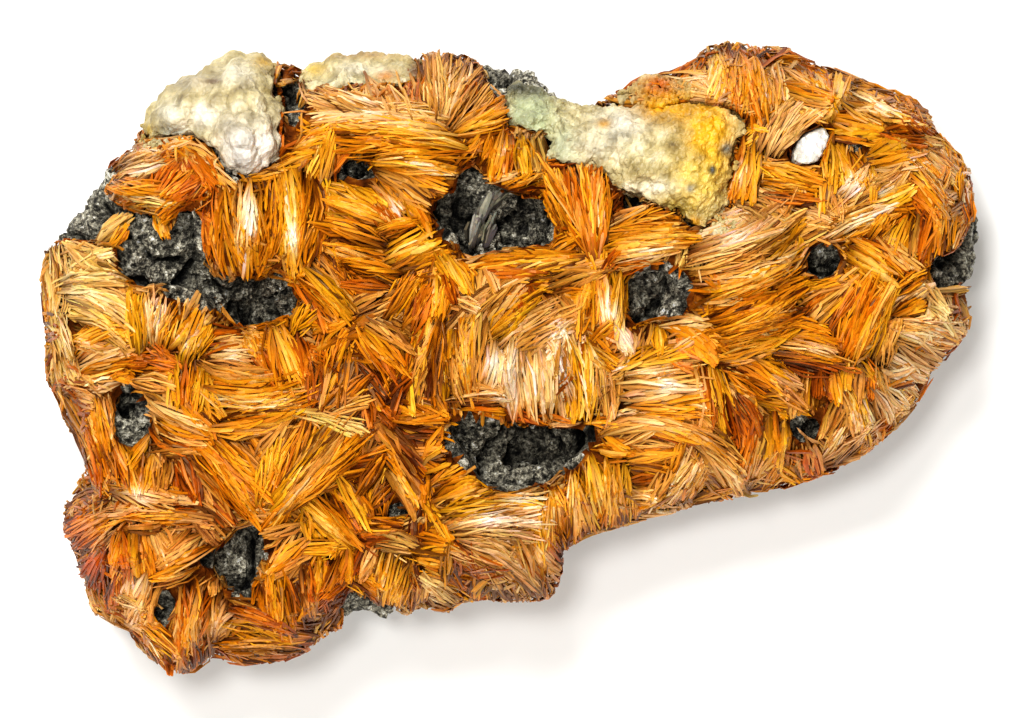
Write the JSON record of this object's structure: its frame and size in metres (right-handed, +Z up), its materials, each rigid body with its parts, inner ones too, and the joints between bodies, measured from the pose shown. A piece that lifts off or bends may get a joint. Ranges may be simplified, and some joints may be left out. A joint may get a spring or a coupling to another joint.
{
  "type": "barite specimen",
  "caption": "Plate of dark matrix rock under a crust of golden bladed barite sheaves, with cream calcite crusts; rests flat, crystals up.",
  "frame": {"origin": "on the resting surface, under the middle of the specimen's bounding box", "axes": "+X along the plate's length, +Y along its width, +Z up out of the crystal face"},
  "size_m": [0.1186, 0.0795, 0.0361],
  "materials": {
    "matrix": "rough granular",
    "barite": "silky translucent",
    "calcite": "waxy"
  },
  "bodies": {
    "root": {"matrix_rock": "matrix", "barite_crust": "barite", "calcite_crust_left": "calcite", "calcite_crust_top": "calcite", "calcite_crust_middle": "calcite", "calcite_bead": "calcite"}
  },
  "joints": []
}
